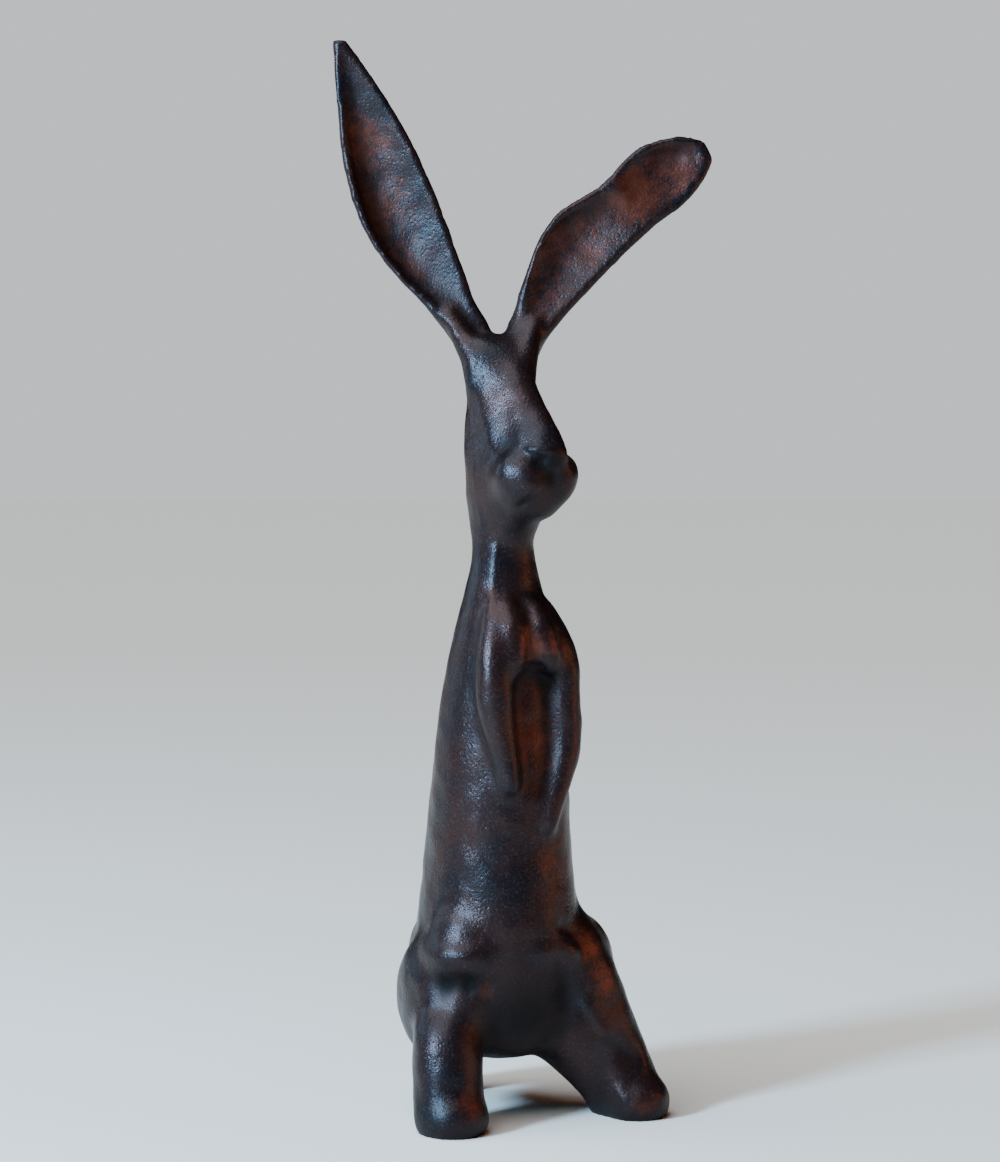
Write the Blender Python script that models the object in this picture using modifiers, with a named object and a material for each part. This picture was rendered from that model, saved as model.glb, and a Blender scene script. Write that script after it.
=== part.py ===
"""Metal rabbit garden sculpture: an upright hare with long spread ears, cast in one piece.

It stands on two hind feet and a short tail. The figure looks along -Y and its left side is +X.
"""

import math

import bmesh
import bpy
import numpy as np
from mathutils import Vector

# Driving sizes, in metres.
FIGURE_HEIGHT = 0.500
EAR_WALL = 0.0046
EAR_RIM = 0.0022
SKIN_CELL = 0.0017

# The pose and the proportions are shares of the height. One unit is a five-hundredth of it.
UNIT = FIGURE_HEIGHT / 500

# Turns about the upright axis, in degrees, towards the figure's own left.
HEAD_TURN = 4.0
CHEST_TURN = 5.0
EARS_TURN = -28.0

MOST_TRIANGLES = 9000

# Passes that soften the creases between the masses, then the carving, then the ears.
BODY_PASSES = 20
CARVING_PASSES = 6
EAR_PASSES = 2

# Trunk and neck: height, sideways, forward, half width, half depth.
TRUNK = (
    (27, 1.0, 0.0, 14.0, 14.0),
    (32, 1.0, 0.0, 25.0, 26.0),
    (44, 1.0, -1.0, 33.0, 34.5),
    (62, 0.5, -1.0, 36.5, 40.5),
    (88, 0.3, 0.0, 36.2, 41.5),
    (109, 0.2, 0.3, 34.2, 38.5),
    (130, 0.1, 0.7, 32.8, 35.5),
    (151, 0.0, 2.5, 31.5, 33.5),
    (173, 0.0, 3.2, 30.0, 29.8),
    (201, 0.0, 3.6, 26.8, 26.2),
    (229, 0.0, 5.6, 22.0, 21.0),
    (250, 0.0, 6.3, 16.8, 16.8),
    (264, 0.0, 6.0, 14.2, 14.4),
    (276, 0.0, 6.0, 13.8, 14.0),
)

# Skull: height, front, back, half width.
SKULL = (
    (258, 20.0, 8.0, 12.8),
    (266, 20.5, 8.6, 13.4),
    (272, 24.0, 10.4, 14.0),
    (279, 30.0, 12.2, 14.8),
    (286, 37.0, 13.6, 16.2),
    (295, 42.0, 14.3, 17.2),
    (306, 41.0, 14.6, 17.4),
    (319, 33.0, 14.4, 16.6),
    (333, 26.0, 13.6, 15.0),
    (347, 20.0, 13.4, 14.4),
    (355, 14.5, 13.4, 15.4),
    (360, 9.0, 12.0, 15.8),
    (364, 3.0, 7.0, 10.0),
)

# Bridge of the nose: height, front, half width.
BRIDGE = (
    (302, 44.0, 7.6),
    (307, 50.0, 8.0),
    (310, 51.4, 8.8),
    (312, 50.2, 9.6),
    (319, 43.4, 10.0),
    (326, 37.2, 9.8),
    (333, 32.0, 9.5),
    (340, 27.2, 9.1),
    (347, 22.0, 8.6),
    (354, 14.5, 7.0),
)

# Ears: across, height, half width, slope of the across line in degrees, cup depth, wall in walls.
RIGHT_EAR = (
    (-6.2, 346.0, 5.4, 42, 0.0, 2.0),
    (-11.8, 361.5, 7.4, 14, 1.0, 1.9),
    (-20.4, 374.6, 12.2, -10, 3.0, 1.5),
    (-28.0, 384.0, 15.6, -13, 5.2, 1.3),
    (-35.4, 396.5, 19.3, -14, 7.4, 1.1),
    (-42.0, 410.6, 21.3, -15, 8.6, 1.0),
    (-48.0, 428.3, 21.4, -17, 8.6, 1.0),
    (-53.8, 447.3, 18.9, -18, 7.2, 1.0),
    (-60.0, 467.2, 13.8, -17, 4.8, 1.0),
    (-68.4, 488.0, 6.2, -12, 1.6, 1.0),
    (-73.8, 500.6, 0.9, -4, 0.0, 0.9),
)
LEFT_EAR = (
    (7.5, 348.0, 6.0, -24, 0.0, 2.0),
    (12.4, 362.0, 7.6, -18, 1.0, 1.9),
    (18.6, 373.5, 9.6, -20, 2.6, 1.5),
    (24.0, 383.2, 11.8, -26, 4.4, 1.3),
    (29.6, 393.0, 14.2, -32, 6.2, 1.1),
    (36.3, 402.6, 16.0, -34, 7.4, 1.0),
    (44.0, 411.0, 16.2, -36, 6.6, 1.0),
    (54.0, 418.6, 14.8, -36, 3.8, 1.0),
    (63.0, 425.6, 14.0, -36, 2.0, 1.0),
    (71.0, 432.8, 15.4, -39, 3.6, 1.0),
    (78.4, 439.4, 14.8, -43, 4.8, 1.0),
    (86.6, 444.6, 11.8, -49, 3.8, 1.0),
    (94.0, 447.8, 7.2, -58, 1.6, 1.0),
    (98.6, 449.2, 2.6, -64, 0.0, 0.9),
)
EAR_BASE_BACK = 0.0
EAR_TIP_BACK = 14.0
RIGHT_EAR_VALLEY = -0.50
LEFT_EAR_VALLEY = -0.35

# Forelegs: sideways, forward, height, radius.
RIGHT_ARM = (
    (-9.5, 17.0, 241, 6.0),
    (-12.2, 22.5, 231, 8.2),
    (-15.2, 27.0, 217, 9.2),
    (-17.0, 29.4, 199, 8.9),
    (-15.8, 31.2, 185, 7.6),
    (-13.9, 33.0, 173, 6.4),
    (-11.8, 35.0, 158, 4.9),
)
LEFT_ARM = (
    (12.0, 19.0, 238, 6.0),
    (16.6, 25.5, 224, 7.6),
    (19.2, 28.0, 211, 8.2),
    (19.4, 29.2, 198, 7.7),
    (19.8, 30.2, 184, 7.8),
    (18.8, 31.2, 172, 7.5),
    (15.0, 32.8, 160, 6.5),
    (10.6, 34.8, 148, 5.2),
    (7.8, 36.3, 139, 4.0),
)

# Rounded masses: sideways, forward, height, then the half sizes along the same axes.
HAUNCHES = (
    (-27.0, 0.0, 57, 20.5, 33.0, 33.0),
    (31.0, 9.0, 71, 22.0, 27.0, 24.5),
)
RIGHT_LEDGE = (
    (-31.5, 4.0, 79, 11.5),
    (-31.0, 15.5, 78, 13.0),
    (-25.0, 22.5, 78, 13.4),
    (-15.0, 24.5, 80, 12.0),
)
LEFT_THIGH = (
    (20.0, 12.0, 92, 15.5),
    (25.5, 21.0, 78, 17.5),
    (31.0, 25.0, 65, 17.0),
)
LEFT_SHIN = (
    (14.5, 30.3, 81, 11.5),
    (20.2, 32.3, 72, 9.5),
    (27.3, 33.8, 60, 8.4),
    (34.9, 36.6, 45, 8.0),
    (42.0, 38.0, 32, 7.0),
)
RIGHT_LEG = (
    (-34.0, 13.0, 46, 15.0),
    (-37.4, 21.5, 37, 16.4),
    (-38.8, 25.0, 24, 16.6),
    (-39.4, 27.0, 12, 16.4),
)
LEFT_LEG = (
    (30.0, 25.0, 64, 18.5),
    (36.3, 27.0, 49, 17.6),
    (43.5, 29.0, 33, 16.4),
    (49.5, 33.5, 17, 15.6),
)
WEB = (
    (6.6, 4.5, 52, 20.0),
    (19.6, 10.5, 46.5, 19.5),
    (30.0, 16.0, 37.5, 18.4),
    (38.5, 22.5, 25, 16.2),
    (47.5, 26.5, 12, 14.0),
)
FEET = (
    (-39.6, 30.0, 7, 17.8, 19.0, 15.0),
    (52.5, 40.0, 7, 16.2, 16.5, 14.5),
    (45.5, 28.0, 7, 12.0, 13.0, 12.5),
)
RUMP = (-1.0, -20.0, 65, 33.0, 33.0, 43.0)
RIGHT_THIGH = (-23.5, 11.5, 85, 17.0, 20.5, 20.0)
TAIL = (
    (-1.0, -38.0, 44, 15.0),
    (-1.0, -46.0, 30, 14.5),
    (-1.0, -50.0, 17, 13.6),
    (-1.0, -51.0, 7, 13.0),
)
CHEST = (1.5, 19.5, 224, 19.0, 18.0, 17.0)
STERNUM = (
    (5.0, 27.0, 239, 3.6),
    (6.8, 33.6, 229, 4.6),
    (8.4, 35.6, 220, 4.8),
    (9.0, 35.0, 212, 4.2),
)
BREAST = (
    (-7.5, 25.0, 239, 4.6),
    (-8.5, 30.6, 228, 6.6),
    (-9.4, 32.0, 215, 7.0),
)
MUZZLE = (7.6, 30.8, 298.5, 12.2, 18.6, 14.5)
CHIN = (0.0, 29.0, 287, 13.0, 15.0, 9.5)
CHEEK = (
    (11.9, 7.6, 340, 4.5),
    (12.0, 12.7, 328, 5.2),
    (12.1, 20.4, 316, 5.8),
    (10.6, 21.7, 305, 5.5),
)

# Swellings that lead the head into the ears, behind and in front of each.
EAR_ROOTS = (
    (
        (-4.5, -3.0, 350, 6.5),
        (-10.5, -5.0, 360, 5.4),
        (-18.0, -6.5, 371, 3.2),
    ),
    (
        (7.0, -3.0, 350, 7.5),
        (12.0, -5.0, 360, 5.8),
        (17.0, -6.5, 370, 3.2),
    ),
    (
        (-6.0, 5.5, 334, 8.0),
        (-8.0, 7.0, 344, 7.5),
        (-11.2, 4.5, 354, 6.6),
        (-17.0, -1.5, 364, 5.4),
        (-22.5, -6.0, 374, 4.0),
    ),
    (
        (9.0, 6.5, 335, 8.0),
        (9.8, 9.0, 343, 8.2),
        (12.0, 5.0, 352, 7.2),
        (14.5, -0.5, 361, 6.0),
        (18.0, -5.0, 370, 4.0),
    ),
)


def clear_scene():
    """Removes what the startup scene holds."""
    for obj in list(bpy.data.objects):
        bpy.data.objects.remove(obj, do_unlink=True)


def smooth_stations(stations, steps):
    """A soft curve through the rows of a station table, with this many steps between rows."""
    rows = np.array(stations, float)
    ends = np.vstack([2 * rows[0] - rows[1], rows, 2 * rows[-1] - rows[-2]])
    out = []
    for i in range(1, len(ends) - 2):
        a, b, c, d = ends[i - 1], ends[i], ends[i + 1], ends[i + 2]
        for t in np.linspace(0, 1, steps, endpoint=False):
            slope = (c - a) * t + (2 * a - 5 * b + 4 * c - d) * t**2 + (3 * b - a - 3 * c + d) * t**3
            out.append(b + 0.5 * slope)
    out.append(rows[-1])
    return np.array(out)


def turned(sideways, forward, degrees):
    """A place on the ground plan after a turn towards the figure's left."""
    angle = math.radians(degrees)
    x = sideways * math.cos(angle) + forward * math.sin(angle)
    f = forward * math.cos(angle) - sideways * math.sin(angle)
    return x, f


def place(sideways, forward, height):
    """A point of the figure in metres. Forward is -Y."""
    return Vector((sideways, -forward, height)) * UNIT


def shell(name, rings, collection):
    """A closed mesh from a row of rings with the same number of points, capped at both ends."""
    mesh = bpy.data.meshes.new(name)
    bm = bmesh.new()
    rows = [[bm.verts.new(point) for point in ring] for ring in rings]
    count = len(rows[0])
    for low, high in zip(rows, rows[1:]):
        for i in range(count):
            j = (i + 1) % count
            bm.faces.new((low[i], low[j], high[j], high[i]))
    bm.faces.new(rows[0])
    bm.faces.new(rows[-1])
    bmesh.ops.recalc_face_normals(bm, faces=bm.faces)
    bm.to_mesh(mesh)
    bm.free()
    obj = bpy.data.objects.new(name, mesh)
    collection.objects.link(obj)
    return obj


def blob(name, sizes, collection, turn=0.0):
    """A rounded mass from its centre and its half sizes."""
    sideways, forward, height, wide, deep, tall = sizes
    rings = []
    for polar in np.linspace(0.04, math.pi - 0.04, 18):
        ring = []
        for angle in np.linspace(0, 2 * math.pi, 28, endpoint=False):
            x = sideways + wide * math.sin(polar) * math.cos(angle)
            f = forward + deep * math.sin(polar) * math.sin(angle)
            x, f = turned(x, f, turn)
            ring.append(place(x, f, height + tall * math.cos(polar)))
        rings.append(ring)
    return shell(name, rings, collection)


def limb(name, stations, collection, turn=0.0):
    """A tapering limb with round ends along a bent line of centres and radii."""
    rows = smooth_stations(stations, 6)
    centres = [place(*turned(row[0], row[1], turn), row[2]) for row in rows]
    radii = [row[3] * UNIT for row in rows]
    rings = []
    for i, (centre, radius) in enumerate(zip(centres, radii)):
        along = (centres[min(i + 1, len(rows) - 1)] - centres[max(i - 1, 0)]).normalized()
        first = along.cross(Vector((1.0, 0.2, 0.1))).normalized()
        second = along.cross(first)
        if i == 0:
            rings += cap_rings(centre, -along, first, second, radius)[::-1]
        rings.append(circle(centre, first, second, radius))
        if i == len(rows) - 1:
            rings += cap_rings(centre, along, first, second, radius)
    return shell(name, rings, collection)


def circle(centre, first, second, radius):
    """A ring of points about a centre."""
    angles = np.linspace(0, 2 * math.pi, 24, endpoint=False)
    return [centre + (first * math.cos(a) + second * math.sin(a)) * radius for a in angles]


def cap_rings(centre, along, first, second, radius):
    """The rings of a round end, from its rim to its pole."""
    rings = []
    for lift in (0.3, 0.6, 0.9, 1.2, 1.45):
        middle = centre + along * (radius * math.sin(lift))
        rings.append(circle(middle, first, second, radius * math.cos(lift)))
    return rings


def superellipse(angle, wide, deep, power):
    """A point of a closed curve between an ellipse and a rectangle."""
    c, s = math.cos(angle), math.sin(angle)
    size = (abs(c) ** power + abs(s) ** power) ** (-1.0 / power)
    return wide * size * c, deep * size * s


def trunk(collection):
    """Body and neck: squarish rings on the upright axis."""
    rings = []
    for height, sideways, forward, wide, deep in smooth_stations(TRUNK, 5):
        ring = []
        for angle in np.linspace(0, 2 * math.pi, 48, endpoint=False):
            x, f = superellipse(angle, wide, deep, 2.15)
            ring.append(place(sideways + x, forward + f, height))
        rings.append(ring)
    return shell("trunk", rings, collection)


def skull(collection):
    """Head without its nose: egg-shaped rings, narrower in front."""
    rings = []
    for height, front, back, wide in smooth_stations(SKULL, 5):
        middle = (front - back) / 2
        ring = []
        for angle in np.linspace(0, 2 * math.pi, 40, endpoint=False):
            x, f = superellipse(angle, wide, (front + back) / 2, 2.1)
            x *= 1 - 0.16 * math.sin(angle)
            ring.append(place(*turned(x, middle + f, HEAD_TURN), height))
        rings.append(ring)
    return shell("skull", rings, collection)


def bridge(collection):
    """Ridge from the forehead to the nose, with the flat nose end below it."""
    rings = []
    for height, front, wide in smooth_stations(BRIDGE, 3):
        ring = []
        for angle in np.linspace(0, 2 * math.pi, 32, endpoint=False):
            x, f = superellipse(angle, wide, front / 2, 4.5 - 0.05 * (height - BRIDGE[0][0]))
            ring.append(place(*turned(x, front / 2 + f, HEAD_TURN), height))
        rings.append(ring)
    return shell("bridge", rings, collection)


def cup(t, valley):
    """Depth of an ear's hollow across it, from 0 at both rims to 1 at the valley."""
    if t < valley:
        return math.cos(math.pi / 2 * (valley - t) / (1 + valley)) ** 0.8
    return math.cos(math.pi / 2 * (t - valley) / (1 - valley)) ** 1.3


def ear(name, stations, valley, collection):
    """A leaf-shaped ear: a thin hollow blade that opens to the front, from its root to its tip."""
    rows = smooth_stations(stations, 5)
    wall = EAR_WALL / UNIT
    rings = []
    for i, (across, height, half, slope, depth, walls) in enumerate(rows):
        back = EAR_BASE_BACK + (EAR_TIP_BACK - EAR_BASE_BACK) * i / (len(rows) - 1)
        half += EAR_RIM / UNIT
        spread = np.linspace(-1, 1, 21)
        front = np.array([(half * t, back + depth * cup(t, valley)) for t in spread])
        run = np.gradient(front, axis=0)
        run /= np.linalg.norm(run, axis=1)[:, None]
        behind = front + np.stack([-run[:, 1], run[:, 0]], axis=1) * wall * walls
        ring = np.vstack([front, behind[::-1]])
        low, high = ring[:, 0].min(), ring[:, 0].max()
        ring[:, 0] = (ring[:, 0] - (low + high) / 2) * 2 * half / (high - low)
        angle = math.radians(slope)
        points = []
        for along, behind in ring:
            u = across + along * math.cos(angle)
            z = height + along * math.sin(angle)
            points.append(place(*turned(u, -behind, EARS_TURN), z))
        rings.append(points)
    return shell(name, rings, collection)


def joined(name, objects, collection):
    """One object from several, all at the origin."""
    mesh = bpy.data.meshes.new(name)
    bm = bmesh.new()
    for obj in objects:
        bm.from_mesh(obj.data)
        bpy.data.objects.remove(obj, do_unlink=True)
    bm.to_mesh(mesh)
    bm.free()
    obj = bpy.data.objects.new(name, mesh)
    collection.objects.link(obj)
    return obj


def applied(obj):
    """Turns the object's modifiers into its mesh."""
    bpy.context.view_layer.update()
    graph = bpy.context.evaluated_depsgraph_get()
    mesh = bpy.data.meshes.new_from_object(obj.evaluated_get(graph))
    obj.modifiers.clear()
    obj.data = mesh


def skinned(obj, cell, passes):
    """Melts overlapping shells into one skin and softens its creases."""
    remesh = obj.modifiers.new("Skin", "REMESH")
    remesh.mode = "VOXEL"
    remesh.voxel_size = cell
    remesh.adaptivity = 0.0
    soften = obj.modifiers.new("Soften", "SMOOTH")
    soften.factor = 0.5
    soften.iterations = int(passes)
    applied(obj)


def cut_sole(obj):
    """Grinds the feet and the tail flat on the ground plane and closes the cuts."""
    bm = bmesh.new()
    bm.from_mesh(obj.data)
    parts = list(bm.verts) + list(bm.edges) + list(bm.faces)
    down = (0, 0, -1)
    bmesh.ops.bisect_plane(bm, geom=parts, dist=1e-6, plane_co=(0, 0, 0), plane_no=down, clear_outer=True)
    open_edges = [edge for edge in bm.edges if edge.is_boundary]
    bmesh.ops.edgeloop_fill(bm, edges=open_edges)
    bmesh.ops.triangulate(bm, faces=bm.faces)
    bmesh.ops.recalc_face_normals(bm, faces=bm.faces)
    bm.to_mesh(obj.data)
    bm.free()


def thinned(obj):
    """Drops triangles where the skin is flat, to stay under the limit."""
    count = sum(len(face.vertices) - 2 for face in obj.data.polygons)
    fewer = obj.modifiers.new("Fewer", "DECIMATE")
    fewer.ratio = MOST_TRIANGLES / count
    applied(obj)


def centred(obj):
    """Moves the middle of the footprint box to the origin."""
    points = np.array([vertex.co for vertex in obj.data.vertices])
    low, high = points.min(axis=0), points.max(axis=0)
    middle = Vector(((low[0] + high[0]) / 2, (low[1] + high[1]) / 2, low[2]))
    for vertex in obj.data.vertices:
        vertex.co -= middle
    return middle


def iron():
    """Dark brown waxed cast iron."""
    material = bpy.data.materials.new("cast_iron_brown")
    material.use_nodes = True
    shader = material.node_tree.nodes["Principled BSDF"]
    shader.inputs["Base Color"].default_value = (0.030, 0.019, 0.016, 1.0)
    shader.inputs["Metallic"].default_value = 0.55
    shader.inputs["Roughness"].default_value = 0.42
    return material


def build():
    clear_scene()
    figure = bpy.data.collections.new("rabbit_sculpture")
    bpy.context.scene.collection.children.link(figure)
    shells = [trunk(figure), skull(figure), blob("chin", CHIN, figure, HEAD_TURN)]
    for side in (-1, 1):
        shells.append(blob("muzzle", (side * MUZZLE[0],) + MUZZLE[1:], figure, HEAD_TURN))
        cheek = [(side * row[0],) + row[1:] for row in CHEEK]
        shells.append(limb("cheek", cheek, figure, HEAD_TURN))
    for sizes in HAUNCHES + FEET + (RUMP, RIGHT_THIGH):
        shells.append(blob("mass", sizes, figure))
    for stations in (RIGHT_LEDGE, RIGHT_LEG, LEFT_THIGH, LEFT_SHIN, LEFT_LEG, WEB, TAIL):
        shells.append(limb("leg", stations, figure))
    body = joined("body", shells, figure)
    skinned(body, SKIN_CELL, BODY_PASSES)
    shells = [body, bridge(figure)]
    shells.append(blob("chest", CHEST, figure, CHEST_TURN))
    for stations in (STERNUM, BREAST):
        shells.append(limb("breast", stations, figure))
    for stations in EAR_ROOTS:
        shells.append(limb("ear_root", stations, figure, EARS_TURN))
    shells.append(limb("right_arm", RIGHT_ARM, figure))
    shells.append(limb("left_arm", LEFT_ARM, figure))
    body = joined("body", shells, figure)
    skinned(body, SKIN_CELL, CARVING_PASSES)
    right = ear("right_ear", RIGHT_EAR, RIGHT_EAR_VALLEY, figure)
    left = ear("left_ear", LEFT_EAR, LEFT_EAR_VALLEY, figure)
    hare = joined("hare_casting", [body, right, left], figure)
    skinned(hare, SKIN_CELL, EAR_PASSES)
    thinned(hare)
    cut_sole(hare)
    middle = centred(hare)
    for face in hare.data.polygons:
        face.use_smooth = True
    hare.data.materials.append(iron())
    return middle


build()
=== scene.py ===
"""Upright cast iron hare with long spread ears: skin, finish and studio.

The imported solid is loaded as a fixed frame. A copy of it is melted to a fine skin, carved with the
creases, ridges and marks of the hand-made pattern, and finished as waxed, sand-cast iron.
"""

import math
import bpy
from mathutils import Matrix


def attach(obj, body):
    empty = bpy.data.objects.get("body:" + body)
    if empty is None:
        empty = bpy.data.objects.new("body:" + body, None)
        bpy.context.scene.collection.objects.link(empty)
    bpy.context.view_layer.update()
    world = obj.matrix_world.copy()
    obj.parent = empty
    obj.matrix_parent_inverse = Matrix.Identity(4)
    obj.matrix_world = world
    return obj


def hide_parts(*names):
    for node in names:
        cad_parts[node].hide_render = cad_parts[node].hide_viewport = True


bl_info = {
    "name": "Cast Iron Hare",
    "version": (1, 0, 0),
    "blender": (4, 5, 0),
    "location": "View3D > Sidebar > Hare",
    "description": "Builds the skin, the finish and the studio of an upright cast iron hare",
    "category": "Add Mesh",
}

import bpy
import numpy as np
from mathutils import Vector, noise
from mathutils.bvhtree import BVHTree
from mathutils.kdtree import KDTree

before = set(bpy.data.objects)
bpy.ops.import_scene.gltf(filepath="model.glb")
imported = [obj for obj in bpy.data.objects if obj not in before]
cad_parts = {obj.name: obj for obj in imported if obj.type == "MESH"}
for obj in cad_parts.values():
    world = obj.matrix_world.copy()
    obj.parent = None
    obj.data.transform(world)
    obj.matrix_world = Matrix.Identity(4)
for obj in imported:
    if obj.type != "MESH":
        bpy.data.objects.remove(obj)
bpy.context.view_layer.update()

NODE = "hare_casting"
MM = 0.001

# Plan of the figure: the upright axis through the neck, and the turn of the head to its left.
AXIS_X = -18.1
AXIS_Y = -3.9
HEAD_TURN = 4.0

# The photograph's viewpoint: turn about the upright axis, height, distance and lens.
VIEW_TURN = -28.0
VIEW_TILT = 4.1
VIEW_PLACE = (-0.7681, -1.4173, 0.364)
VIEW_LENS = 106.9
SENSOR = 36.0

# Shares of each smoothing pass in and out, and the passes and depth that a hollow is measured by.
SMOOTH_IN = 0.62
SMOOTH_OUT = -0.64
HOLLOW_PASSES = 24
HOLLOW_DEPTH = 1.2

# Shut-in places: one vertex in so many is tested, by so many rays, lifted off the skin and this long
# in metres, and the result is smoothed by so many passes.
SHADE_STRIDE = 20
SHADE_RAYS = 40
SHADE_LIFT = 0.0005
SHADE_REACH = 0.045
SHADE_PASSES = 12

# Carving fades to this share at the ends of a long line, over so many of its half widths.
FADE_END = 0.25
FADE_WIDTHS = 1.5

# Depth of a rim nick as a share of its size, the width of the cast skin's slow waves in millimetres,
# the height below which the skin is pressed flat on the ground, and the painted shade on what faces down.
NICK_SHARE = 0.35
WAVE_REACH = 9.0
SOLE_HEIGHT = 0.5
UNDER_SHADE = 0.8

# The front's carving is full on skin that faces the viewer, and fades out on skin that turns away.
FACING_GAIN = 2.0
FACING_BASE = 0.4

# Widths of the clouds in the browning and of the blots, and how many pits go to a grain's width.
CLOUD_WIDTH = 25 * MM
BLOT_WIDTH = 4 * MM
PITS_PER_GRAIN = 0.45

# File marks round the neck: their pitch, drawn far coarser than a real file's so that they show, and the
# heights in metres at which they start, are full, fade and end. The wave texture turns by so many radians
# over one unit at a scale of one.
MARK_PITCH = 11.31 * MM
MARK_HEIGHTS = (0.222, 0.236, 0.262, 0.274)
WAVE_TURN = 20

# Brightness of the studio air: as it lights the figure, and as the camera sees it. Then the floor's
# radius and how far the camera sees, in metres.
AIR_FILL = 0.02
AIR_SEEN = 0.80
FLOOR_RADIUS = 6.0
CLIP_END = 50.0

# What the lights face. Then the main light, which whitens the floor and what faces up: its place to the
# right of the view axis, away from the viewer and up, its strength, its spread in degrees, its colour.
AIM = (-0.018, -0.004, 0.25)
KEY_PLACE = (-0.6, -0.3, 1.5)
KEY_STRENGTH = 3.95
KEY_SPREAD = 60
KEY_COLOUR = (0.80, 0.90, 1.0)

# Soft boxes: name, place by the same three distances, width, power in watts, colour. The left window
# draws the sharp blue lights, the edge window lights the near flank, and the warm light the far side.
SOFT_LIGHTS = (
    ("window_left", (-1.2, -1.05, 0.85), 0.28, 86.0, (0.38, 0.68, 1.0)),
    ("window_edge", (-1.3, 0.6, 0.6), 0.6, 4.0, (0.50, 0.76, 1.0)),
    ("warm_side", (1.4, -0.3, 0.4), 0.6, 5.0, (1.0, 0.42, 0.18)),
)

# Towards the viewer, level with the ground.
FRONT = np.array([math.sin(math.radians(VIEW_TURN)), -math.cos(math.radians(VIEW_TURN)), 0.0])

# Carving on the skin, in millimetres: half width, height (below zero it cuts in), then its line. The
# lines follow the photograph, laid on the front of the solid.
CARVING = (
    # Nose: the flat end of the bridge stands over a plane that is cut back below it.
    (1.3, 1.7, ((-25.4, -45.0, 311.8), (-20.9, -52.3, 311.5), (-14.8, -54.2, 311.2))),
    (2.6, -2.4, ((-25.2, -48.1, 307.4), (-20.3, -52.3, 306.8), (-15.4, -52.8, 306.4))),
    (5.5, -1.0, ((-20.1, -51.8, 301.5), (-17.0, -52.5, 300.5))),
    (1.6, -0.7, ((-27.3, -41.0, 284.6), (-24.9, -49.1, 289.4), (-18.7, -51.1, 294.4))),
    (1.6, 0.5, ((-27.6, -41.2, 288.0), (-25.4, -49.0, 292.8), (-19.4, -51.3, 297.6))),
    # Muzzle: full beside the nose on both sides.
    (6.0, 1.8, ((-12.5, -41.5, 326.5), (-11.0, -51.5, 308.5))),
    (5.0, 1.3, ((-26.2, -38.5, 317.0), (-27.0, -40.0, 314.0))),
    # Neck: a ridge runs down from the throat to the shoulder.
    (3.0, 0.7, ((-27.9, -20.3, 269.5), (-29.0, -21.5, 255.8), (-35.1, -27.1, 238.1))),
    # Chest: breast bone, the crease beside it and the arch between the forelegs.
    (2.2, 0.6, ((-14.6, -36.2, 237.0), (-14.9, -41.5, 226.4), (-12.2, -42.3, 215.4))),
    (2.0, -1.0, ((-17.8, -34.5, 237.0), (-20.5, -40.3, 224.7), (-20.5, -38.4, 214.5))),
    (2.0, -0.8, ((-28.7, -40.2, 208.6), (-25.0, -41.1, 212.2), (-16.4, -36.6, 212.8), (-9.5, -41.0, 210.0))),
    # Right thigh: a ledge over a smooth undercut, and the hollow above the leg.
    (4.5, 0.9, ((-61.3, -19.5, 77.5), (-56.7, -30.8, 80.3), (-49.6, -36.9, 80.2), (-44.6, -39.1, 78.3))),
    (4.4, -2.6, ((-61.4, -19.7, 68.0), (-56.2, -29.7, 67.4), (-48.6, -35.0, 66.7), (-42.2, -36.6, 66.4))),
    (6.5, -1.2, ((-57.7, -28.7, 62.0), (-50.9, -34.2, 62.3))),
    # Left thigh: a boss, the crease above it, the edge of the shin, the ankle and the instep.
    (5.0, 1.8, ((-15.6, -45.0, 81.4), (-8.0, -44.6, 82.5), (-0.8, -44.8, 79.6))),
    (3.4, -1.4, ((-8.5, -43.6, 94.5), (-0.2, -41.8, 89.9), (6.0, -42.0, 84.8))),
    (4.6, 2.2, ((3.4, -44.6, 60.4), (7.4, -45.3, 52.4), (12.0, -46.6, 44.7), (18.0, -47.5, 35.4))),
    (5.5, -1.2, ((12.6, -40.3, 74.0), (18.9, -45.8, 60.0), (24.5, -47.4, 46.9))),
    (4.6, -2.2, ((22.5, -48.8, 32.0), (25.5, -49.5, 30.0), (29.2, -50.3, 28.6))),
    (3.6, 1.0, ((19.3, -47.1, 18.8), (22.1, -51.5, 12.7), (24.8, -56.1, 6.8))),
    # Right ear: the rolled outer rim, the valley inside it, and the fold down on to the forehead.
    (1.3, 0.5, ((-74.5, 38.4, 449.0), (-72.1, 35.0, 430.5), (-67.2, 31.3, 412.9), (-59.6, 25.9, 397.2))),
    (1.8, -0.9, ((-70.7, 39.8, 449.2), (-67.3, 37.4, 430.7), (-62.3, 32.9, 412.1), (-55.0, 26.9, 397.2))),
    (3.0, 0.6, ((-47.5, 19.1, 384.2), (-43.0, 15.6, 378.7), (-38.3, 8.6, 370.3), (-36.3, 0.2, 361.1))),
    # Left ear: its deep lower valley, the saddle between its two hollows, and the outer hollow.
    (3.2, -1.1, ((-2.4, -6.8, 384.2), (1.4, -7.6, 397.2), (8.1, -8.8, 409.7), (17.5, -11.1, 417.6))),
    (4.0, 1.0, ((32.8, -18.9, 436.4), (37.2, -21.4, 429.6), (42.8, -24.8, 422.2))),
    (4.2, -1.0, ((49.2, -23.8, 442.2), (58.0, -27.1, 446.4), (68.1, -32.8, 447.3))),
)

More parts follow.
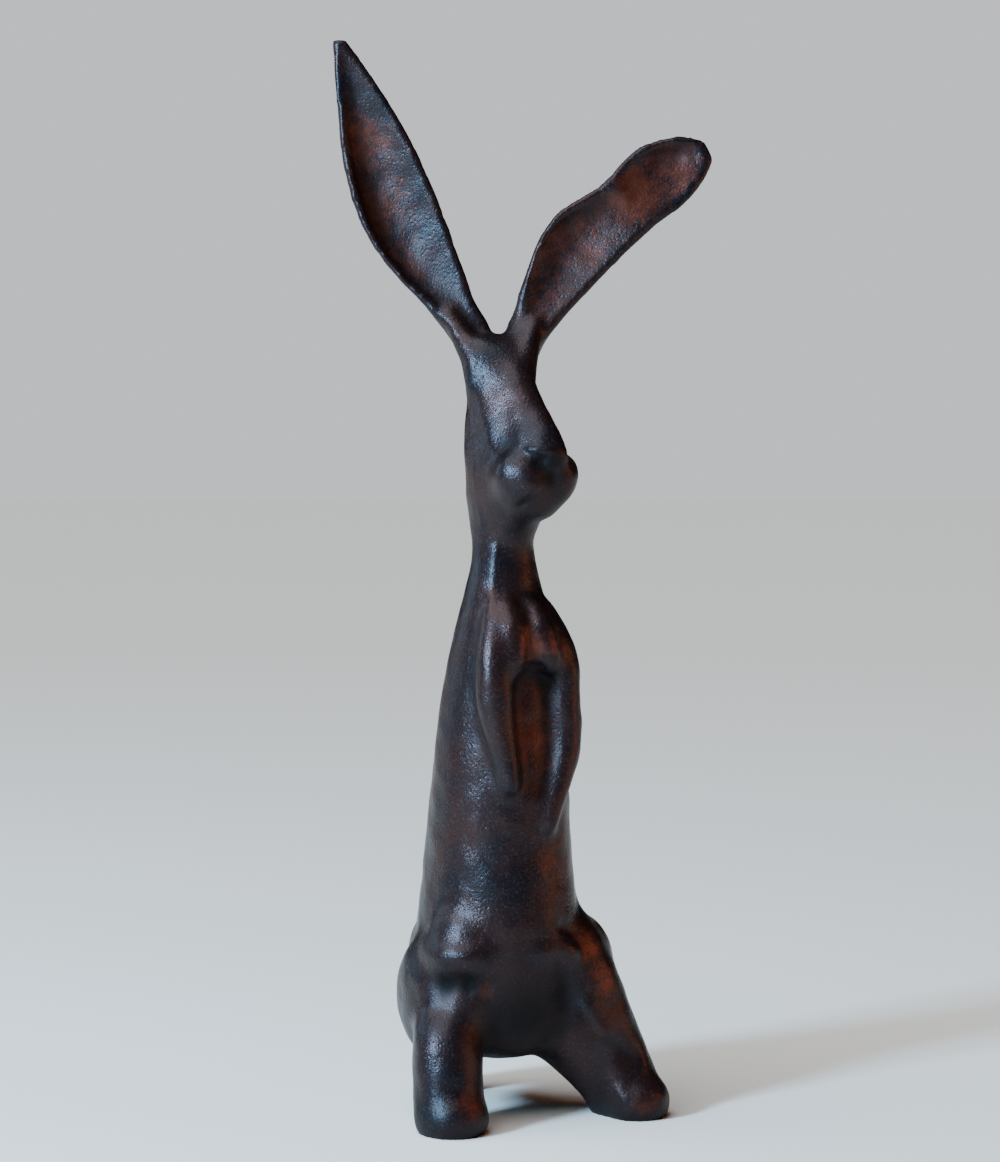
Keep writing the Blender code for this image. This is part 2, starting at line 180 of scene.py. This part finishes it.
# The same on both sides of the head: the round of the cheek, and the seam of the mould.
HEAD_CARVING = (
    (7.0, 2.2, ((-34.8, -40.6, 302.8), (-34.8, -40.6, 300.5))),
    (0.9, 0.3, ((-33.5, -4.4, 333.5), (-34.2, -8.6, 319.8), (-35.0, -12.1, 303.8), (-31.4, -14.1, 273.9))),
)

# Where the solid's edges are crisper than the casting: reach in millimetres, then the line to melt.
SOFT_LINES = (
    (7.0, ((-24.2, -18.3, 352.0), (-23.4, -32.2, 333.9), (-23.0, -41.1, 322.7))),
    (6.0, ((-30.5, -19.3, 335.6), (-29.6, -31.0, 317.5))),
    (5.5, ((-13.8, -52.0, 315.0), (-12.5, -53.8, 307.0))),
    (6.0, ((-18.0, -12.0, 363.0), (-10.0, -9.0, 372.0))),
)

# Nicks along the right ear's outer rim: place and size.
RIM_NICKS = (
    ((-74.3, 38.0, 446.5), 1.5),
    ((-73.2, 36.6, 438.0), 1.8),
    ((-72.1, 35.0, 430.0), 1.4),
    ((-62.0, 28.0, 401.5), 1.5),
)

# Where rust shows through the wax: place, reach and strength.
RUST_SPOTS = (
    ((-66.0, 33.0, 452.0), 16.0, 0.7),
    ((-60.0, 30.0, 425.0), 18.0, 0.5),
    ((-52.0, 24.0, 400.0), 16.0, 0.4),
    ((44.0, -24.0, 428.0), 16.0, 1.0),
    ((62.0, -34.0, 438.0), 20.0, 0.7),
    ((22.0, -16.0, 405.0), 26.0, 0.5),
    ((8.0, -8.0, 378.0), 20.0, 0.4),
    ((-14.0, -46.0, 324.0), 12.0, 0.3),
    ((-20.0, -40.0, 222.0), 9.0, 1.0),
    ((-9.0, -42.0, 222.0), 10.0, 0.9),
    ((-20.0, -40.0, 180.0), 18.0, 0.6),
    ((0.0, -42.0, 120.0), 24.0, 0.5),
    ((10.0, -40.0, 82.0), 9.0, 1.0),
    ((16.0, -44.0, 66.0), 12.0, 0.7),
    ((30.0, -58.0, 8.0), 10.0, 0.8),
    ((-56.0, -46.0, 12.0), 10.0, 1.0),
    ((-50.0, -40.0, 44.0), 12.0, 0.5),
    ((-42.0, -36.0, 64.0), 5.0, 0.8),
)

# Spots of painted shade, where the crotch, the undercut below the thigh, the underside of the nose and the
# ankle lie in shadow: place, reach and strength.
SHADE_SPOTS = (
    ((-24.0, -38.0, 52.0), 24.0, 1.0),
    ((-8.0, -40.0, 60.0), 16.0, 0.8),
    ((-58.0, -28.0, 67.0), 7.0, 0.9),
    ((-48.0, -36.0, 66.5), 8.0, 0.9),
    ((-22.0, -51.0, 306.0), 5.0, 1.0),
    ((-15.0, -53.0, 306.0), 6.0, 1.0),
    ((-16.0, -53.0, 299.0), 9.0, 0.8),
    ((26.0, -49.5, 30.0), 6.0, 0.6),
)


def deselect_all():
    """Leaves nothing selected, because an operator acts on all that is."""
    bpy.ops.object.select_all(action="DESELECT")


def make_active(obj):
    """Selects one object alone and makes it the active one."""
    deselect_all()
    obj.select_set(True)
    bpy.context.view_layer.objects.active = obj


def add_modifier(obj, kind, settings):
    """Adds one modifier and applies it."""
    make_active(obj)
    bpy.ops.object.modifier_add(type=kind)
    modifier = obj.modifiers[-1]
    for name, value in settings.items():
        setattr(modifier, name, value)
    bpy.ops.object.modifier_apply(modifier=modifier.name)


def vertex_places(mesh):
    """Vertex positions in millimetres."""
    flat = np.empty(len(mesh.vertices) * 3, np.float32)
    mesh.vertices.foreach_get("co", flat)
    return flat.reshape(-1, 3).astype(float) / MM


def vertex_normals(mesh):
    """Vertex normals, each of length one."""
    flat = np.empty(len(mesh.vertices) * 3, np.float32)
    mesh.vertex_normals.foreach_get("vector", flat)
    return flat.reshape(-1, 3).astype(float)


def move_vertices(mesh, places):
    """Puts the vertices at places given in millimetres."""
    mesh.vertices.foreach_set("co", (places * MM).astype(np.float32).ravel())
    mesh.update()


def along_line(places, line):
    """Each place's distance from a bent line, and how far along the line that is, with its length."""
    nearest = np.full(len(places), np.inf)
    reached = np.zeros(len(places))
    length = 0.0
    for start, end in zip(line, line[1:]):
        start, end = np.array(start), np.array(end)
        run = end - start
        share = np.clip((places - start) @ run / (run @ run), 0, 1)
        gap = np.linalg.norm(places - (start + share[:, None] * run), axis=1)
        step = np.linalg.norm(run)
        reached = np.where(gap < nearest, length + share * step, reached)
        nearest = np.minimum(nearest, gap)
        length += step
    return nearest, reached, length


def carve(places, normals, cuts):
    """Raises ridges and sinks grooves along the normals. A long one runs out softly at both ends."""
    shift = np.zeros(len(places))
    for half_width, height, line in cuts:
        gap, reached, length = along_line(places, line)
        fade = 1.0
        if length > 4 * half_width:
            from_end = np.minimum(reached, length - reached)
            fade = np.clip(from_end / (FADE_WIDTHS * half_width), FADE_END, 1)
        shift += height * fade * np.exp(-((gap / half_width) ** 2))
    return places + normals * shift[:, None]


def mirrored(point):
    """The same place on the other side of the head."""
    angle = math.radians(HEAD_TURN)
    across = (math.cos(angle), math.sin(angle))
    off = (point[0] - AXIS_X) * across[0] + (point[1] - AXIS_Y) * across[1]
    return (point[0] - 2 * off * across[0], point[1] - 2 * off * across[1], point[2])


def both_sides(cuts):
    """The carving with its mirror image on the other side of the head."""
    twins = [(width, height, tuple(mirrored(p) for p in line)) for width, height, line in cuts]
    return list(cuts) + twins


def nicked(places, normals, nicks):
    """Small chips out of a thin rim."""
    for centre, size in nicks:
        gap = np.linalg.norm(places - np.array(centre), axis=1)
        depth = NICK_SHARE * size * np.exp(-((gap / size) ** 2))
        places = places - normals * depth[:, None]
    return places


def flat_soles(places):
    """The feet and the tail stub stand flat on the ground."""
    places[:, 2] = np.where(places[:, 2] < SOLE_HEIGHT, 0.0, places[:, 2])
    return places


def wavy(places, normals, height):
    """The uneven skin that a hand-rammed sand mould leaves."""
    lift = [noise.noise(Vector(place) / WAVE_REACH) for place in places]
    return places + normals * (np.array(lift) * height)[:, None]


def spot_share(places, spots):
    """How much of a patchy finish each place has, from its list of spots."""
    share = np.zeros(len(places))
    for centre, reach, strength in spots:
        gap = np.linalg.norm(places - np.array(centre), axis=1)
        share = np.maximum(share, strength * np.exp(-((gap / reach) ** 2)))
    return share


def neighbours(mesh):
    """The two ends of every edge."""
    ends = np.empty(len(mesh.edges) * 2, np.int32)
    mesh.edges.foreach_get("vertices", ends)
    return ends.reshape(-1, 2).T


def neighbour_mean(places, ends):
    """Each vertex's mean of the vertices that it shares an edge with."""
    first, second = ends
    size = len(places)
    count = np.bincount(first, minlength=size) + np.bincount(second, minlength=size)
    mean = np.empty_like(places)
    for axis in range(places.shape[1]):
        from_second = np.bincount(first, places[second, axis], size)
        from_first = np.bincount(second, places[first, axis], size)
        mean[:, axis] = (from_second + from_first) / count
    return mean


def unfaceted(places, ends, passes):
    """Smooths the facets away. Each pass in is followed by one out, so the form keeps its size."""
    for _ in range(passes):
        for share in (SMOOTH_IN, SMOOTH_OUT):
            places = places + share * (neighbour_mean(places, ends) - places)
    return places


def melted(places, ends, soft_lines, passes):
    """Rounds the skin over near each of the lines."""
    share = np.zeros(len(places))
    for reach, line in soft_lines:
        share = np.maximum(share, np.exp(-((along_line(places, line)[0] / reach) ** 2)))
    for _ in range(passes):
        places = places + share[:, None] * (neighbour_mean(places, ends) - places)
    return places


def hollow_share(places, normals, ends):
    """How deep each vertex lies in a hollow, from -1 on a crest to 1 in a crease."""
    level = places
    for _ in range(HOLLOW_PASSES):
        level = neighbour_mean(level, ends)
    depth = ((level - places) * normals).sum(axis=1)
    return np.clip(depth / HOLLOW_DEPTH, -1, 1)


def fan_of_rays(count):
    """Directions spread evenly over the half sphere about +Z."""
    turn = math.pi * (3 - math.sqrt(5))
    rays = []
    for i in range(count):
        up = 1 - (i + 0.5) / count
        level = math.sqrt(1 - up * up)
        rays.append(Vector((math.cos(turn * i) * level, math.sin(turn * i) * level, up)))
    return rays


def shut_at(tree, place, normal, rays):
    """Share of the half sphere over one place that the figure or the ground shuts off."""
    start = place + normal * SHADE_LIFT
    lean = normal.to_track_quat("Z", "Y")
    shut = 0.0
    for ray in rays:
        way = lean @ ray
        meets_ground = way.z < 0 and start.z < -way.z * SHADE_REACH
        if meets_ground or tree.ray_cast(start, way, SHADE_REACH)[0]:
            shut += ray.z
    return shut / sum(ray.z for ray in rays)


def closed_share(mesh, places, normals, ends):
    """How shut in each vertex is, from 0 in the open to 1. The nearest tested vertex stands for it."""
    tree = BVHTree.FromPolygons((places * MM).tolist(), [tuple(face.vertices) for face in mesh.polygons])
    rays = fan_of_rays(SHADE_RAYS)
    tested = np.arange(0, len(places), SHADE_STRIDE)
    nearest = KDTree(len(tested))
    shut = []
    for order, vertex in enumerate(tested):
        nearest.insert(places[vertex], order)
        shut.append(shut_at(tree, Vector(places[vertex] * MM), Vector(normals[vertex]), rays))
    nearest.balance()
    share = np.array([shut[nearest.find(place)[1]] for place in places])
    for _ in range(SHADE_PASSES):
        share = neighbour_mean(share[:, None], ends)[:, 0]
    return share


def store(mesh, name, values):
    """Keeps one number for each vertex, for the finish to read."""
    attribute = mesh.attributes.new(name, "FLOAT", "POINT")
    attribute.data.foreach_set("value", values.astype(np.float32))


def linear(code):
    """Linear colour of an sRGB hex value."""
    parts = [int(code[i : i + 2], 16) / 255 for i in (1, 3, 5)]
    return [c / 12.92 if c <= 0.04045 else ((c + 0.055) / 1.055) ** 2.4 for c in parts]


def add_node(tree, kind, settings=None, inputs=None):
    """Adds one node. Its inputs go by name or number, each with a value or the socket that feeds it."""
    node = tree.nodes.new(kind)
    for name, value in (settings or {}).items():
        setattr(node, name, value)
    for name, value in (inputs or {}).items():
        if isinstance(value, bpy.types.NodeSocket):
            tree.links.new(value, node.inputs[name])
        else:
            node.inputs[name].default_value = value
    return node


def weighted_sum(tree, start, parts):
    """The start with each value added to it, times its weight."""
    total = start
    for value, weight in parts:
        step = add_node(tree, "ShaderNodeMath", {"operation": "MULTIPLY_ADD"}, {
            0: value, 1: weight, 2: total,
        })
        total = step.outputs[0]
    return total


def layered(tree, ground, layers):
    """The ground colour with each colour laid over it by its share."""
    top = (*ground, 1.0)
    for share, colour in layers:
        step = add_node(tree, "ShaderNodeMix", {"data_type": "RGBA"}, {
            0: share, 6: top, 7: (*colour, 1.0),
        })
        top = step.outputs[2]
    return top


def waxed_cast_iron(shape, finish):
    """Sand-cast grey iron, browned and waxed: dark and satin, with grain, rust and worn crests, and with
    painted shade blackening its creases and shut-in places.
    """
    material = bpy.data.materials.new("waxed_cast_iron")
    material.use_nodes = True
    tree = material.node_tree
    tree.nodes.clear()
    place = add_node(tree, "ShaderNodeTexCoord").outputs["Object"]
    rust = add_node(tree, "ShaderNodeAttribute", {"attribute_name": "rust"}).outputs["Fac"]
    hollow = add_node(tree, "ShaderNodeAttribute", {"attribute_name": "hollow"}).outputs["Fac"]
    closed = add_node(tree, "ShaderNodeAttribute", {"attribute_name": "closed"}).outputs["Fac"]

    # Cloudy browning, broken up by blots.
    clouds = add_node(tree, "ShaderNodeTexNoise", None, {
        "Vector": place, "Scale": 1 / CLOUD_WIDTH, "Detail": 4.0, "Roughness": 0.6,
    }).outputs["Fac"]
    blots = add_node(tree, "ShaderNodeTexNoise", None, {
        "Vector": place, "Scale": 1 / BLOT_WIDTH, "Detail": 5.0, "Roughness": 0.65,
    }).outputs["Fac"]
    browned = add_node(tree, "ShaderNodeMapRange", None, {
        "Value": clouds, "From Min": 0.35, "From Max": 0.65,
    }).outputs["Result"]

    # Rust shows in its spots, more in the hollows, and breaks up along the blots.
    patch = weighted_sum(tree, 0.0, ((rust, 0.6), (blots, 0.9), (hollow, 0.18)))
    rusted = add_node(tree, "ShaderNodeMapRange", None, {
        "Value": patch, "From Min": 0.62, "From Max": 1.0, "To Max": 0.55,
    }).outputs["Result"]

    # Sand grain: 0.5 to 1 mm in the real skin, drawn a little coarser so that it shows, with pits set
    # wider apart. Its crests are rubbed bare.
    grain = add_node(tree, "ShaderNodeTexNoise", None, {
        "Vector": place, "Scale": 1 / shape.grain, "Detail": 3.0, "Roughness": 0.7,
    }).outputs["Fac"]
    cells = add_node(tree, "ShaderNodeTexVoronoi", {"feature": "F1"}, {
        "Vector": place, "Scale": PITS_PER_GRAIN / shape.grain,
    }).outputs["Distance"]
    pits = add_node(tree, "ShaderNodeMapRange", None, {
        "Value": cells, "From Min": 0.05, "From Max": 0.32,
    }).outputs["Result"]
    worn = add_node(tree, "ShaderNodeMapRange", None, {
        "Value": grain, "From Min": 0.55, "From Max": 0.78, "To Max": 0.35,
    }).outputs["Result"]

    # Painted shade blackens the creases, the shut-in places, what faces down and the spots of shade.
    creased = add_node(tree, "ShaderNodeMath", {"operation": "MAXIMUM"}, {0: hollow, 1: 0.0}).outputs[0]
    painted_shade = add_node(tree, "ShaderNodeClamp", None, {
        "Value": weighted_sum(tree, 0.0, ((creased, 0.5), (closed, 0.9))),
    }).outputs["Result"]

    # File marks round the neck. The first range fades them in up the neck, the second out again.
    height = add_node(tree, "ShaderNodeSeparateXYZ", None, {"Vector": place}).outputs["Z"]
    start, full, fade, end = MARK_HEIGHTS
    marks = add_node(tree, "ShaderNodeTexWave", {"bands_direction": "Z"}, {
        "Vector": place, "Scale": 2 * math.pi / (WAVE_TURN * MARK_PITCH), "Distortion": 2.0,
        "Detail": 3.0, "Detail Scale": 3.0,
    }).outputs["Fac"]
    marks = add_node(tree, "ShaderNodeMapRange", None, {
        "Value": height, "From Min": start, "From Max": full, "To Min": 0.0, "To Max": marks,
    }).outputs["Result"]
    marks = add_node(tree, "ShaderNodeMapRange", None, {
        "Value": height, "From Min": fade, "From Max": end, "To Min": marks, "To Max": 0.0,
    }).outputs["Result"]
    bump = add_node(tree, "ShaderNodeBump", None, {
        "Strength": 0.5, "Distance": shape.grain_height,
        "Height": weighted_sum(tree, grain, ((pits, 0.5), (blots, 0.8), (marks, 0.8))),
    }).outputs["Normal"]

    # Wax gives a satin gloss with small bright lights. It is duller on rust and under the painted shade.
    gloss = weighted_sum(tree, 0.24, ((grain, 0.12), (rusted, 0.12), (painted_shade, 0.45)))
    colour = layered(tree, finish.dark_colour, (
        (browned, finish.brown_colour),
        (rusted, finish.rust_colour),
        (worn, finish.worn_colour),
        # The last layer is the painted shade, near black.
        (painted_shade, finish.painted_shade_colour),
    ))
    # Half metal: iron shines through thin wax, so that its lights are dark and sharp, not milky.
    shader = add_node(tree, "ShaderNodeBsdfPrincipled", None, {
        "Base Color": colour, "Metallic": 0.5, "Roughness": gloss, "Normal": bump,
        "Specular IOR Level": 0.3,
    })
    output = add_node(tree, "ShaderNodeOutputMaterial")
    tree.links.new(shader.outputs["BSDF"], output.inputs["Surface"])
    return material


def matt_paint(name, colour):
    """Plain matt paint."""
    material = bpy.data.materials.new(name)
    material.use_nodes = True
    shader = material.node_tree.nodes["Principled BSDF"]
    shader.inputs["Base Color"].default_value = (*colour, 1.0)
    shader.inputs["Roughness"].default_value = 0.85
    return material


def soft_light(name, place, size, power, colour):
    """A square soft box that faces the figure."""
    bpy.ops.object.light_add(type="AREA", location=place)
    light = bpy.context.object
    light.name = name
    light.data.size = size
    light.data.energy = power
    light.data.color = colour
    light.rotation_euler = (Vector(AIM) - Vector(place)).to_track_quat("-Z", "Y").to_euler()


def key_light():
    """The high, soft main light, a little to the left of the viewer. It lights the floor evenly too."""
    place = view_place(*KEY_PLACE)
    bpy.ops.object.light_add(type="SUN", location=place)
    light = bpy.context.object
    light.name = "high_window"
    light.data.energy = KEY_STRENGTH
    light.data.angle = math.radians(KEY_SPREAD)
    light.data.color = KEY_COLOUR
    light.rotation_euler = (Vector(place) - Vector(AIM)).to_track_quat("Z", "Y").to_euler()


def studio_air():
    """Pale air behind the figure. The figure itself is lit by a much dimmer room."""
    world = bpy.data.worlds.new("studio_air")
    world.use_nodes = True
    tree = world.node_tree
    tree.nodes.clear()
    seen = add_node(tree, "ShaderNodeLightPath").outputs["Is Camera Ray"]
    strength = weighted_sum(tree, AIR_FILL, ((seen, AIR_SEEN - AIR_FILL),))
    air = add_node(tree, "ShaderNodeBackground", None, {
        "Color": (0.93, 0.95, 1.0, 1.0), "Strength": strength,
    })
    output = add_node(tree, "ShaderNodeOutputWorld")
    tree.links.new(air.outputs["Background"], output.inputs["Surface"])
    return world


def view_place(right, away, up):
    """A place in the room from its distance to the right of the view axis, away from the viewer, and up."""
    angle = math.radians(VIEW_TURN)
    x = right * math.cos(angle) - away * math.sin(angle)
    y = right * math.sin(angle) + away * math.cos(angle)
    return (x, y, up)


def fine_copy(cell):
    """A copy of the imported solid, merged and laid over with small even squares."""
    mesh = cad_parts[NODE].data.copy()
    mesh.materials.clear()
    hare = bpy.data.objects.new("hare_skin", mesh)
    bpy.context.scene.collection.objects.link(hare)
    make_active(hare)
    bpy.ops.object.mode_set(mode="EDIT")
    bpy.ops.mesh.select_all(action="SELECT")
    bpy.ops.mesh.remove_doubles(threshold=0.00001)
    bpy.ops.mesh.customdata_custom_splitnormals_clear()
    bpy.ops.mesh.normals_make_consistent(inside=False)
    bpy.ops.object.mode_set(mode="OBJECT")
    add_modifier(hare, "REMESH", {"mode": "VOXEL", "voxel_size": cell, "adaptivity": 0.0})
    return hare


def shape_skin(mesh, ends, shape):
    """Takes the facets out of the skin and carves it."""
    places = unfaceted(vertex_places(mesh), ends, shape.softness)
    move_vertices(mesh, melted(places, ends, SOFT_LINES, shape.melting))
    places = vertex_places(mesh)
    normals = vertex_normals(mesh)
    facing = np.clip(FACING_GAIN * (normals @ FRONT) + FACING_BASE, 0, 1)[:, None]
    places = carve(places, normals * facing, CARVING)
    places = carve(places, normals, both_sides(HEAD_CARVING))
    places = nicked(places, normals, RIM_NICKS)
    places = wavy(places, normals, shape.wave / MM)
    move_vertices(mesh, flat_soles(places))


def mark_finish(mesh, ends):
    """Stores where rust shows, where the skin is hollow, and where it is shut in, faces down or lies in a
    spot of painted shade.
    """
    places = vertex_places(mesh)
    normals = vertex_normals(mesh)
    # Painted shade: darker on what faces down and at the spots of shade, laid over the shut-in share.
    shade_marks = np.maximum(-normals[:, 2] * UNDER_SHADE, spot_share(places, SHADE_SPOTS))
    closed = np.maximum(closed_share(mesh, places, normals, ends), shade_marks)
    store(mesh, "rust", spot_share(places, RUST_SPOTS))
    store(mesh, "hollow", hollow_share(places, normals, ends))
    store(mesh, "closed", np.clip(closed, 0, 1))


class HareShape(bpy.types.PropertyGroup):
    """Sizes of the skin."""

    cell: bpy.props.FloatProperty(
        name="Skin cell", description="Size of the squares that the skin is made of",
        default=0.00123, min=0.001, unit="LENGTH", precision=5,
    )
    softness: bpy.props.IntProperty(
        name="Softness", description="Passes that smooth the skin before it is carved", default=30, min=0,
    )
    melting: bpy.props.IntProperty(
        name="Melting", description="Passes that round over the crisp edges of the head", default=45, min=0,
    )
    wave: bpy.props.FloatProperty(
        name="Unevenness", description="Height of the slow waves of the cast skin",
        default=0.00035, min=0.0, unit="LENGTH", precision=5,
    )
    grain: bpy.props.FloatProperty(
        name="Grain", description="Width of the sand grain",
        default=0.0012, min=0.0003, unit="LENGTH", precision=5,
    )
    grain_height: bpy.props.FloatProperty(
        name="Grain height", description="Depth of the sand grain",
        default=0.0004, min=0.0, unit="LENGTH", precision=5,
    )


class HareFinish(bpy.types.PropertyGroup):
    """Colours of the finish."""

    dark_colour: bpy.props.FloatVectorProperty(
        name="Dark", description="Blackened iron under the wax", subtype="COLOR", size=3,
        default=linear("#191317"), min=0.0, max=1.0,
    )
    brown_colour: bpy.props.FloatVectorProperty(
        name="Brown", description="Browned iron under the wax", subtype="COLOR", size=3,
        default=linear("#301a17"), min=0.0, max=1.0,
    )
    rust_colour: bpy.props.FloatVectorProperty(
        name="Rust", description="Rust that shows through", subtype="COLOR", size=3,
        default=linear("#6e3019"), min=0.0, max=1.0,
    )
    worn_colour: bpy.props.FloatVectorProperty(
        name="Worn", description="Grain rubbed bare on the crests", subtype="COLOR", size=3,
        default=linear("#54585f"), min=0.0, max=1.0,
    )
    # Painted shade: the colour laid where shade falls in the creases, the shut-in places and under the
    # figure.
    painted_shade_colour: bpy.props.FloatVectorProperty(
        name="Grime", description="Old wax and dust in the creases", subtype="COLOR", size=3,
        default=linear("#050304"), min=0.0, max=1.0,
    )
    floor_colour: bpy.props.FloatVectorProperty(
        name="Floor", description="Floor of the studio", subtype="COLOR", size=3,
        default=linear("#ece2d6"), min=0.0, max=1.0,
    )


class HARE_OT_casting(bpy.types.Operator):
    """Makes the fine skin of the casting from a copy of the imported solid"""

    bl_idname = "hare.casting"
    bl_label = "Casting"

    def execute(self, context):
        shape = context.scene.hare_shape
        finish = context.scene.hare_finish
        deselect_all()
        hare = fine_copy(shape.cell)
        ends = neighbours(hare.data)
        shape_skin(hare.data, ends, shape)
        mark_finish(hare.data, ends)
        make_active(hare)
        bpy.ops.object.shade_smooth()
        hare.data.materials.append(waxed_cast_iron(shape, finish))
        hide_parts(NODE)
        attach(hare, "root")
        return {"FINISHED"}


class HARE_OT_studio(bpy.types.Operator):
    """Sets up the floor, the lights and the camera"""

    bl_idname = "hare.studio"
    bl_label = "Studio"

    def execute(self, context):
        finish = context.scene.hare_finish
        deselect_all()
        bpy.ops.mesh.primitive_circle_add(vertices=96, radius=FLOOR_RADIUS, fill_type="NGON")
        floor = context.object
        floor.name = "studio_floor"
        floor.data.materials.append(matt_paint("pale_matt_floor", finish.floor_colour))
        key_light()
        for name, place, size, power, colour in SOFT_LIGHTS:
            soft_light(name, view_place(*place), size, power, colour)
        context.scene.world = studio_air()
        bpy.ops.object.camera_add(location=VIEW_PLACE)
        camera = context.object
        camera.name = "front_view"
        camera.rotation_euler = (math.radians(90 - VIEW_TILT), 0.0, math.radians(VIEW_TURN))
        camera.data.sensor_width = SENSOR
        camera.data.lens = VIEW_LENS
        camera.data.clip_end = CLIP_END
        context.scene.camera = camera
        return {"FINISHED"}


class HARE_PT_panel(bpy.types.Panel):
    """Lists the steps and their sizes"""

    bl_label = "Hare"
    bl_idname = "HARE_PT_panel"
    bl_space_type = "VIEW_3D"
    bl_region_type = "UI"
    bl_category = "Hare"

    def draw(self, context):
        for group in (context.scene.hare_shape, context.scene.hare_finish):
            for name in group.__annotations__:
                self.layout.prop(group, name)
        for step in STEPS:
            self.layout.operator(step.bl_idname)


STEPS = (HARE_OT_casting, HARE_OT_studio)
CLASSES = (HareShape, HareFinish, *STEPS, HARE_PT_panel)


def register():
    """Adds the classes, and their settings to the scene."""
    for item in CLASSES:
        bpy.utils.register_class(item)
    bpy.types.Scene.hare_shape = bpy.props.PointerProperty(type=HareShape)
    bpy.types.Scene.hare_finish = bpy.props.PointerProperty(type=HareFinish)


def unregister():
    """Takes the classes and their settings out again."""
    del bpy.types.Scene.hare_finish
    del bpy.types.Scene.hare_shape
    for item in reversed(CLASSES):
        bpy.utils.unregister_class(item)


def main():
    """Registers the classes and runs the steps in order."""
    register()
    bpy.ops.hare.casting()
    bpy.ops.hare.studio()


if __name__ == "__main__":
    main()
